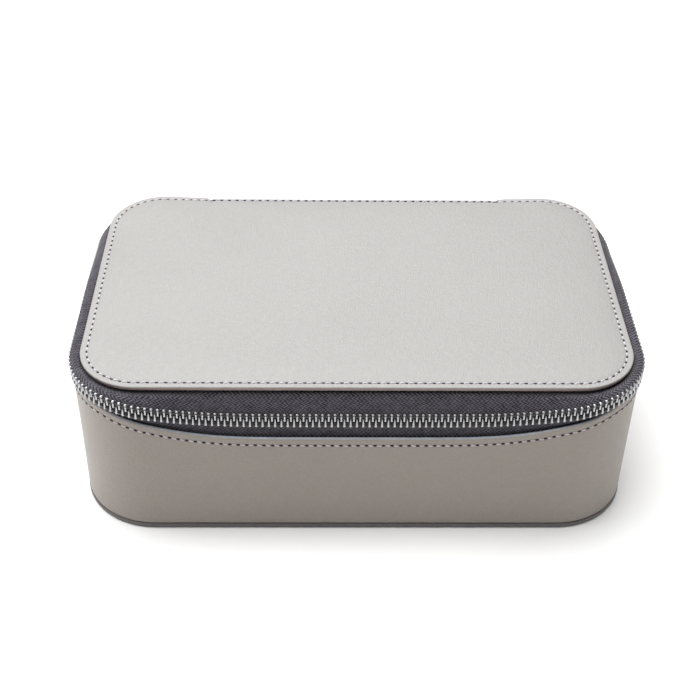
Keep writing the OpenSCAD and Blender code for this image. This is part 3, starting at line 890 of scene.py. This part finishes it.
def zip_teeth():
    """Both rows of teeth. The upper row has its end stretches as pieces of their own."""
    fine = spread(-S_ZIP_END, S_ZIP_END, 3000)
    run = lengths([on_outline(s, chain_centre(s)) for s in fine])

    def station(d):
        low, t = along_run(run, d)
        return mix(fine[low], fine[low + 1], t)

    rows = {"lower": ([], []), "upper": ([], []), "left": ([], []), "right": ([], [])}
    for k in range(int(run[-1] / TOOTH_PITCH)):
        tooth(station((k + 0.5) * TOOTH_PITCH), -1, *rows["lower"])
        s = station(k * TOOTH_PITCH + 0.02)
        row = "left" if s < -S_BLEND else "right" if s > S_BLEND else "upper"
        tooth(s, 1, *rows[row])
    for key, node, body in (("lower", "lower_zip_teeth", "case"), ("upper", "upper_zip_teeth", "lid")):
        belongs(make_piece(node + "_metal", *rows[key], [METAL]), "zip_metal", body, node)
    for key, node, side in (("left", "end_teeth_left", -1), ("right", "end_teeth_right", 1)):
        piece = make_piece(node + "_metal", *rows[key], [METAL])
        belongs(piece, "zip_metal", node=node)
        bend_zip_end(piece)


# ---------------------------------------------------------------- hinge

def bent_sheet(name, path, thickness, half_w, mats):
    """A strip of leather or cloth across the hinge from its [y, z] path, with rounded long edges."""
    section = curve_through([Vector(p) for p in path], 6)
    rows = []
    for x in spread(-half_w, half_w, 60):
        edge = max(0.0, abs(x) - half_w + thickness) / thickness
        t = thickness * (1 - 0.5 * edge ** 2)
        rows.append([Vector((x, q.x, q.y)) for q in strip_section(section, t)])
    n, cols = len(rows), len(rows[0])
    return make_piece(name, flat(rows), grid_faces(n, cols, False, True) + end_caps(n, cols), mats)


def hinge():
    """The lid's leather turns down over the back edge and is sewn to the wall in two rows."""
    out = WALL_HIGH.y + 0.65
    path = [(63.8, 70.62), (65.2, 70.82), (66.2, 70.82), (67.4, 70.62), (68.8, 70.12), (70.4, 69.1),
            (72.0, 67.4), (73.3, 65.1), (73.95, 62.8), (out, 60), (out, 57), (out, 51), (out, HINGE_LOW.z)]
    inner_path = [(61.9, 67.6), (65.5, 67.3), (68.5, 66.1), (70.3, 63.8), (71, 60.5), (71, 56), (71, 50.5)]
    half_w = HINGE_HIGH.x - 0.2
    strip = bent_sheet("hinge_leather", path, 1.15, half_w, [LEATHER])
    lining = bent_sheet("hinge_inner", inner_path, 0.7, half_w - 1.0, [SUEDE])
    for piece, node, slot in ((strip, "hinge_strip", "leather"), (lining, "hinge_lining", "suede")):
        belongs(piece, slot, node=node)
        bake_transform(piece)
    face = out + 0.57
    for row, z in enumerate((HINGE_LOW.z + 2.2, HINGE_LOW.z + 5.4)):
        points = [Vector((x, face, z)) for x in spread(-half_w + 2, half_w - 2, 90)]
        stitches("hinge_stitches_%d" % (row + 1), points, Vector((0, 1, 0)), 3.5, "leather", "case",
                 slant=-9, seed=11 + row)


# ---------------------------------------------------------------- pieces that start from a CAD node's shape

def fixed(piece):
    """Bakes the piece's modifiers into its mesh."""
    graph = bpy.context.evaluated_depsgraph_get()
    mesh = bpy.data.meshes.new_from_object(piece.evaluated_get(graph))
    piece.modifiers.clear()
    piece.data = mesh
    for polygon in mesh.polygons:
        polygon.use_smooth = True
    return piece


def cleaned(bm):
    """Takes out a CAD mesh's doubled points and the edges across its flat faces."""
    bmesh.ops.remove_doubles(bm, verts=bm.verts, dist=0.00001)
    bmesh.ops.dissolve_limit(bm, angle_limit=math.radians(2), verts=bm.verts, edges=bm.edges)


def softened(node, name, mat, width, segments=3, detail=0):
    """A new piece with the node's shape, its edges rounded to this width in millimetres."""
    piece = add_object(name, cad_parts[node].data.copy())
    piece.data.materials.clear()
    piece.data.materials.append(mat)
    rework(piece.data, cleaned)
    set_all(piece.modifiers.new("edges", "BEVEL"), width=width * MM, segments=segments,
            limit_method="ANGLE", angle_limit=math.radians(28), harden_normals=False)
    if detail:
        set_all(piece.modifiers.new("even", "REMESH"), mode="VOXEL", voxel_size=detail * MM)
    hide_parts(node)
    return fixed(piece)


def finish_cad(node, mat):
    """Gives a CAD node that stays as it is its procedural material."""
    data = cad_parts[node].data
    data.materials.clear()
    data.materials.append(mat)


def swell(piece, pressure, cap):
    """A short cloth simulation under pressure. No point moves further than cap millimetres."""
    before = [v.co.copy() for v in piece.data.vertices]
    cloth = piece.modifiers.new("cloth", "CLOTH")
    set_all(cloth.settings, quality=6, mass=0.12, use_pressure=True, uniform_pressure_force=pressure,
            tension_stiffness=24, compression_stiffness=24, bending_stiffness=0.6, vertex_group_mass="held")
    cloth.settings.effector_weights.gravity = 0
    cloth.collision_settings.use_collision = False
    set_all(cloth.point_cache, frame_start=1, frame_end=20)
    for step in range(1, 21):
        bpy.context.scene.frame_set(step)
    graph = bpy.context.evaluated_depsgraph_get()
    after = [v.co.copy() for v in piece.evaluated_get(graph).data.vertices]
    piece.modifiers.clear()
    bpy.context.scene.frame_set(1)
    for v, a, b in zip(piece.data.vertices, before, after):
        move = b - a
        v.co = a + move * min(1.0, cap * MM / max(move.length, 1e-9))


def evened(bm):
    for _ in range(2):
        bmesh.ops.smooth_vert(bm, verts=bm.verts, factor=0.4,
                              use_axis_x=True, use_axis_y=True, use_axis_z=True)


def puffed(piece, pressure, cap):
    """Swells a padded piece that is held along its foot, then smooths it."""
    low = min(v.co.z for v in piece.data.vertices)
    held = piece.vertex_groups.new(name="held")
    held.add([v.index for v in piece.data.vertices if v.co.z < low + 1.2 * MM], 1.0, "REPLACE")
    swell(piece, pressure, cap)
    piece.vertex_groups.clear()
    rework(piece.data, evened)
    subdivide = piece.modifiers.new("smooth", "SUBSURF")
    subdivide.levels = subdivide.render_levels = 1
    return fixed(piece)


# ---------------------------------------------------------------- inside of the body

def wall_lining():
    """The suede-covered lining, rounded over its padded top edge."""
    outer_in = LEATHER_T + 1.5 + 0.05
    low = LINING_LOW.z

    def section(s):
        top = rim_z(s) - 1.5
        wave = 0.1 * noise.noise(Vector((s * 0.035, 7.7, 0)))
        points = [(-outer_in, low + 0.1), (-outer_in, top - 1.2)]
        points += [(-outer_in - 0.4 + 0.42 * math.cos(a), top - 0.5 + 0.45 * math.sin(a))
                   for a in (0.2, 0.9, 1.57, 2.3, 3.0)]
        points += [(-LINING_IN - 0.05, top - 1.6), (-LINING_IN + 0.1, top - 3.0),
                   (-LINING_IN - 0.1 + wave, top - 6), (-LINING_IN + wave, mix(low, top, 0.4)),
                   (-LINING_IN, low + 0.1)]
        return [Vector(p) for p in points]

    lining = swept("wall_suede", spread(-S_END, S_END, 320)[:-1], section, [SUEDE], closed=True)
    belongs(lining, "suede", "case", "wall_lining")

    run = spread(-S_END, S_END, 800)
    points = [on_outline(s, (-LINING_IN - 0.02, rim_z(s) - 4.5)) for s in run]
    ups = [Vector((*(-frame_at(s)[2]), 0)) for s in run]
    stitches("lining_stitches", points, ups, 3.6, "suede", "case", radius=FINE_THREAD, seed=21)


def padded_floor():
    """The floor lining: suede over thin foam, so it dips a little across its top."""
    low, high = box_mm("floor_lining")
    profile = [(0.2, low.z), (0, low.z + 0.3), (0, high.z - 0.5), (0.12, high.z - 0.2), (0.5, high.z - 0.02)]
    profile += [(i, high.z) for i in (1.5, 4, 8, 16, 28, 42, 60)]
    loops = []
    for inset, z in profile:
        loop = rounded_loop(high.x - inset, high.y - inset, CORNER_R - LINING_IN - inset, 0, z)
        if z > high.z - 0.3:
            loop = [Vector((p.x, p.y, p.z - 0.12 * (1 + noise.noise(p * 0.045)))) for p in loop]
        loops.append(loop)
    floor = stacked_loops("floor_suede", loops, [SUEDE])
    belongs(floor, "suede", "case", "floor_lining")


def dividers():
    """The compartment walls, each with a stitch line along the top of both its faces."""
    for node in ("ring_divider", "long_divider", "cross_divider"):
        belongs(softened(node, node + "_suede", SUEDE, 1.45, 5), "suede", "case")
        low, high = box_mm(node)
        long, thin = (0, 1) if high.x - low.x > high.y - low.y else (1, 0)
        for side, tag in ((-1, "a"), (1, "b")):
            up = Vector((0, 0, 0))
            up[thin] = side
            points = []
            for d in spread(6, high[long] - low[long] - 6, 60):
                p = Vector((0, 0, high.z - 3.4))
                p[long], p[thin] = low[long] + d, (high if side > 0 else low)[thin] + side * -0.02
                points.append(p)
            stitches(node + "_stitch_" + tag, points, up, 3.6, "suede", "case", radius=FINE_THREAD,
                     seed=31 + side)


def ring_pads():
    """The bed and its seven stuffed rolls, which hold rings in the grooves between them."""
    bed = softened("ring_bed", "ring_bed_suede", SUEDE, 0.9)
    belongs(bed, "suede", "case")
    for index in range(1, 8):
        node = "ring_roll_%d" % index
        low, high = box_mm(node)
        roll = softened(node, "ring_pad_%d" % index, SUEDE, 1.6, 3, detail=1.5)
        middle = (low + high) / 2
        for v in roll.data.vertices:
            p = v.co / MM
            end = min(p.x - low.x, high.x - p.x)
            pinch = 1 - 0.05 * math.exp(-max(0, end) / 4.5)
            y = middle.y + (p.y - middle.y) * 0.985 * pinch
            lift = 1 - 0.045 * math.exp(-max(0, end) / 6) - 0.012
            crease = 0.13 * noise.noise(Vector((p.x * 0.16, p.y * 0.3, index * 9.1)))
            z = low.z + (p.z - low.z) * lift + crease * smooth((p.z - low.z) / 6)
            v.co = Vector((p.x, y, z)) * MM
        puffed(roll, 2.5, 0.5)
        belongs(roll, "suede", "case")


# ---------------------------------------------------------------- inside of the lid

def lid_inside():
    """The lid's lining and the mirror in its frame, which is sewn round its edge."""
    for node, name, mat, width, segments, slot in (("lid_lining", "lid_suede", SUEDE, 0.45, 3, "suede"),
                                                   ("mirror_frame", "mirror_frame_suede", SUEDE, 0.75, 4,
                                                    "suede"),
                                                   ("mirror_glass", "mirror_plate", MIRROR, 0.35, 3,
                                                    "mirror")):
        belongs(softened(node, name, mat, width, segments), slot, "lid")

    low, high = box_mm("mirror_frame")
    centre = (low + high) / 2
    loop = rounded_loop((high.x - low.x) / 2 - 3, (high.y - low.y) / 2 - 3, 5, 0, low.z + 0.03)
    points = [Vector((p.x + centre.x, p.y + centre.y, p.z)) for p in loop + loop[:1]]
    stitches("mirror_stitches", points, Vector((0, 0, -1)), 3.4, "suede", "lid", radius=FINE_THREAD, seed=41)


def pocket_depth_at(u, v):
    """How far the pocket hangs from the lining, from 0 to 1, across (u) and back from its mouth (v)."""
    across = (1 - abs(2 * u - 1) ** 3.2) ** 0.8
    back = (1 - v ** 2.4) ** 0.75
    return across * back


def lid_pocket():
    """A gathered pocket: flat where it is sewn to the lining, full and rippled along its elastic mouth."""
    low, high = box_mm("lid_pocket")
    deep = high.z - low.z - 1.1
    columns, rows = 150, 70

    def point(u, v):
        ripple = math.sin(2 * math.pi * 13 * u + 0.9 * noise.noise(Vector((u * 5, 1.7, 0))))
        ripple += 0.5 * math.sin(2 * math.pi * 29 * u + 2.0)
        fade = math.exp(-v * 4.2) * (1 - abs(2 * u - 1) ** 6)
        sag = 0.22 * noise.noise(Vector((u * 6, v * 5, 4.4)))
        z = high.z - 0.45 - deep * pocket_depth_at(u, v) * (1 + 0.05 * sag) + 0.42 * ripple * fade
        return Vector((mix(low.x + 0.6, high.x - 0.6, u), mix(low.y + 0.4, high.y - 0.6, v), z))

    verts = [point(u, v) for v in spread(0, 1, rows) for u in spread(0, 1, columns)]
    pocket = make_piece("lid_pocket_cloth", verts, grid_faces(rows + 1, columns + 1, False, False), [SUEDE])
    set_all(pocket.modifiers.new("thickness", "SOLIDIFY"), thickness=0.7 * MM, offset=0)
    fixed(pocket)
    belongs(pocket, "suede", "lid", "lid_pocket")
    hem = pocket_hem([point(u, 0) for u in spread(0, 1, 220)])

    side, end = 0.012, 0.985
    edge = [point(side, v) for v in spread(0, end, 80)]
    edge += [point(u, end) for u in spread(side, 1 - side, 80)]
    edge += [point(1 - side, v) for v in spread(end, 0, 80)]
    edge = [Vector((p.x, p.y, p.z - 0.36)) for p in edge]
    stitches("pocket_stitches", edge, Vector((0, 0, -1)), 3.4, "suede", "lid", radius=0.22, seed=51)


def pocket_hem(mouth):
    """The elastic hem along the pocket's mouth, with fine gathers."""
    around = 12
    verts = []
    for i, c in enumerate(mouth):
        r = 0.62 + 0.12 * math.sin(2 * math.pi * 62 * i / (len(mouth) - 1)) * 0.6
        verts += [c + Vector((0, -1.15 + 1.15 * ca, r * sa * 1.1)) for ca, sa in circle(around)]
    faces = []
    join_rings(faces, 0, len(mouth), around)
    hem = make_piece("pocket_elastic", verts, faces, [ELASTIC])
    belongs(hem, "elastic", "lid", "pocket_hem")
    return hem


# ---------------------------------------------------------------- slider and pull

SLIDER_ANGLE = math.radians(78)
CHAIN_R = CORNER_R + BACK_CHAIN.x
CROWN_R = 36.95


def at_corner(r, angle, z):
    """A point round the back right corner's centre, with angle counted from the slider's middle."""
    a = SLIDER_ANGLE + angle
    return Vector((HALF_X + r * math.cos(a), HALF_Y + r * math.sin(a), z))


def slider_plate(r_in, r_out, half_angle, half_h, nose, verts, faces):
    """A curved plate with a rounded outline that narrows to its tail, and softened edges."""
    across, up = 18, 14

    def half_height(t):
        flare = 1 - nose * smooth((t + 0.2) / 1.2)
        round_end = math.sqrt(max(0.0, 1 - max(0, (abs(t) - 0.72) / 0.28) ** 2.4))
        return half_h * flare * max(0.32, round_end)

    base = len(verts)
    rim = (r_out - r_in) * 0.34
    for side, r in ((0, r_in), (1, r_out)):
        for t in spread(-1, 1, across):
            for w in spread(-1, 1, up):
                edge = max(abs(t) ** 8, abs(w) ** 8)
                soft = rim * edge * (1 if side == 0 else -1)
                verts.append(at_corner(r + soft, t * half_angle, BACK_CHAIN.y + w * half_height(t)))
    cols = up + 1
    layer = (across + 1) * cols
    for side in (0, 1):
        for i in range(across):
            for j in range(up):
                a = base + side * layer + i * cols + j
                faces.append((a, a + 1, a + cols + 1, a + cols))
    border = [(i, 0) for i in range(across)] + [(across, j) for j in range(up)]
    border += [(i, up) for i in range(across, 0, -1)] + [(0, j) for j in range(up, 0, -1)]
    ids = [base + i * cols + j for i, j in border]
    for k, a in enumerate(ids):
        b = ids[(k + 1) % len(ids)]
        faces.append((a, b, b + layer, a + layer))


def tube(centres, radius, around, verts, faces, closed=False):
    """A round bar through the centres."""
    base, n = len(verts), len(centres)
    for i, c in enumerate(centres):
        before = centres[i - 1] if closed or i else c
        after = centres[(i + 1) % n] if closed or i < n - 1 else c
        along = (after - before).normalized()
        side = along.cross(Vector((0.13, 0.21, 0.97))).normalized()
        up = side.cross(along)
        r = radius if closed or 0 < i < n - 1 else radius * 0.72
        verts += [c + side * r * ca + up * r * sa for ca, sa in circle(around)]
    join_rings(faces, base, n, around, closed)


def zip_slider():
    """Two curved plates with rails, the post that joins them, and the crown that holds the pull."""
    verts, faces = [], []
    half = math.radians(11)
    slider_plate(33.45, 34.65, half, 4.4, 0.22, verts, faces)
    slider_plate(29.4, 30.6, half * 0.92, 2.2, 0.15, verts, faces)
    for side in (-1, 1):
        rail_z = BACK_CHAIN.y + side * 3.75
        tube([at_corner(33.2, a, rail_z) for a in spread(-half * 0.72, half * 0.72, 12)], 0.55, 10,
             verts, faces)
    tube([at_corner(r, 0, BACK_CHAIN.y) for r in spread(30.2, 33.9, 6)], 0.44, 12, verts, faces)
    reach = 3.2 / CROWN_R
    arch = []
    for t in spread(-1, 1, 24):
        lift = math.sqrt(max(0, 1 - abs(t) ** 3.5))
        arch.append(at_corner(mix(34.3, CROWN_R, lift), reach * t * 1.12, BACK_CHAIN.y))
    tube(arch, 0.6, 14, verts, faces)
    slider = make_piece("zip_slider_metal", verts, faces, [METAL])
    belongs(slider, "zip_metal", "slider", "zip_slider")


def pull_link():
    """The wire link through the slider's crown."""
    verts, faces = [], []
    radius, drop = 1.33, 6.6
    ring = [(radius * math.cos(a), radius * math.sin(a)) for a in spread(0, math.pi, 14)]
    ring += [(radius * math.cos(a), -drop + radius * math.sin(a)) for a in spread(math.pi, 2 * math.pi, 14)]
    centres = [at_corner(CROWN_R + q, 0, BACK_CHAIN.y + z) for q, z in ring]
    tube(centres, 0.53, 12, verts, faces, closed=True)
    belongs(make_piece("pull_link_wire", verts, faces, [METAL]), "zip_metal", "pull", "pull_link")


def pull_tab():
    """The leather tab, sewn round its edge on both faces."""
    belongs(softened("pull_tab", "pull_tab_leather", LEATHER, 0.42, 4), "leather", "pull")
    low_z, high_z, half_w = 24.0, 49.4, 5.0 - 1.3
    outline = [(-half_w, high_z), (-half_w, low_z + 5)]
    outline += [(half_w * -math.cos(a), low_z + 5 - half_w * math.sin(a)) for a in spread(0, math.pi, 16)]
    outline += [(half_w, low_z + 5), (half_w, high_z), (-half_w, high_z)]
    dense = []
    for (y0, z0), (y1, z1) in zip(outline, outline[1:]):
        steps = max(1, int(math.hypot(y1 - y0, z1 - z0) / 0.8))
        dense += [(mix(y0, y1, i / steps), mix(z0, z1, i / steps)) for i in range(steps)]
    radial = Vector((math.cos(SLIDER_ANGLE), math.sin(SLIDER_ANGLE), 0))
    side_dir = Vector((-radial.y, radial.x, 0))
    hub = Vector((HALF_X, HALF_Y, 0)) + radial * CROWN_R
    for side, name in ((-1, "pull_stitches_inner"), (1, "pull_stitches_outer")):
        points = [hub + side_dir * y + radial * (side * 0.63) + Vector((0, 0, z)) for y, z in dense]
        stitches(name, points, radial * side, 2.6, "leather", "pull", slant=8, length=1.75, radius=0.2,
                 seed=61)


def small_parts():
    belongs(softened("zip_end_stops", "zip_stops_metal", METAL, 0.45, 4), "zip_metal", "case")
    for node in ("base_board", "wall_board", "lid_board"):
        finish_cad(node, BOARD)
    finish_cad("lid_padding", FOAM)


# ---------------------------------------------------------------- floor, lights and camera

def studio():
    bpy.ops.mesh.primitive_grid_add(x_subdivisions=8, y_subdivisions=8, size=8, location=(0, 0, 0))
    floor = bpy.context.object
    floor.name = "floor"
    floor.data.materials.append(pale_floor("floor_paint"))

    world = bpy.data.worlds.new("studio")
    bpy.context.scene.world = world
    world.use_nodes = True
    background = world.node_tree.nodes["Background"].inputs
    background["Color"].default_value = (1.0, 1.0, 1.0, 1.0)
    background["Strength"].default_value = 0.14
    bpy.context.scene.view_settings.view_transform = "Standard"

    def softbox(name, at, size, power):
        light = bpy.data.lights.new(name, "AREA")
        set_all(light, shape="RECTANGLE", size=size[0], size_y=size[1], energy=power)
        lamp = add_object(name, light)
        lamp.location = at
        lamp.rotation_euler = (Vector((0, 0, 0.03)) - Vector(at)).to_track_quat("-Z", "Y").to_euler()

    softbox("overhead", (-0.28, 0.3, 1.3), (2.2, 1.6), 49.5)
    softbox("left_fill", (-1.1, -0.1, 0.6), (0.7, 0.7), 2)
    softbox("right_fill", (1.0, -0.4, 0.2), (0.5, 0.5), 2)


def camera():
    """The camera that sees the case as it is seen from the front, above and slightly left."""
    pitch, yaw, roll = math.radians(38.69), math.radians(-1.487), math.radians(1.109)
    ahead = Vector((-math.sin(yaw) * math.cos(pitch), math.cos(yaw) * math.cos(pitch), -math.sin(pitch)))
    right = Vector((math.cos(yaw), math.sin(yaw), 0))
    up = right.cross(ahead)
    right, up = (right * math.cos(roll) + up * math.sin(roll), up * math.cos(roll) - right * math.sin(roll))
    at = Vector((-0.01339, -0.43968, 0.38796))
    data = bpy.data.cameras.new("camera")
    set_all(data, lens=65.4, clip_start=0.01)
    cam = add_object("camera", data)
    cam.matrix_world = Matrix.Translation(at) @ Matrix((right, up, -ahead)).transposed().to_4x4()
    bpy.context.scene.camera = cam


outer_wall()
base_panel()
lid_panel()
zip_tapes()
zip_teeth()
hinge()
wall_lining()
padded_floor()
dividers()
ring_pads()
lid_inside()
lid_pocket()
zip_slider()
pull_link()
pull_tab()
small_parts()
studio()
camera()
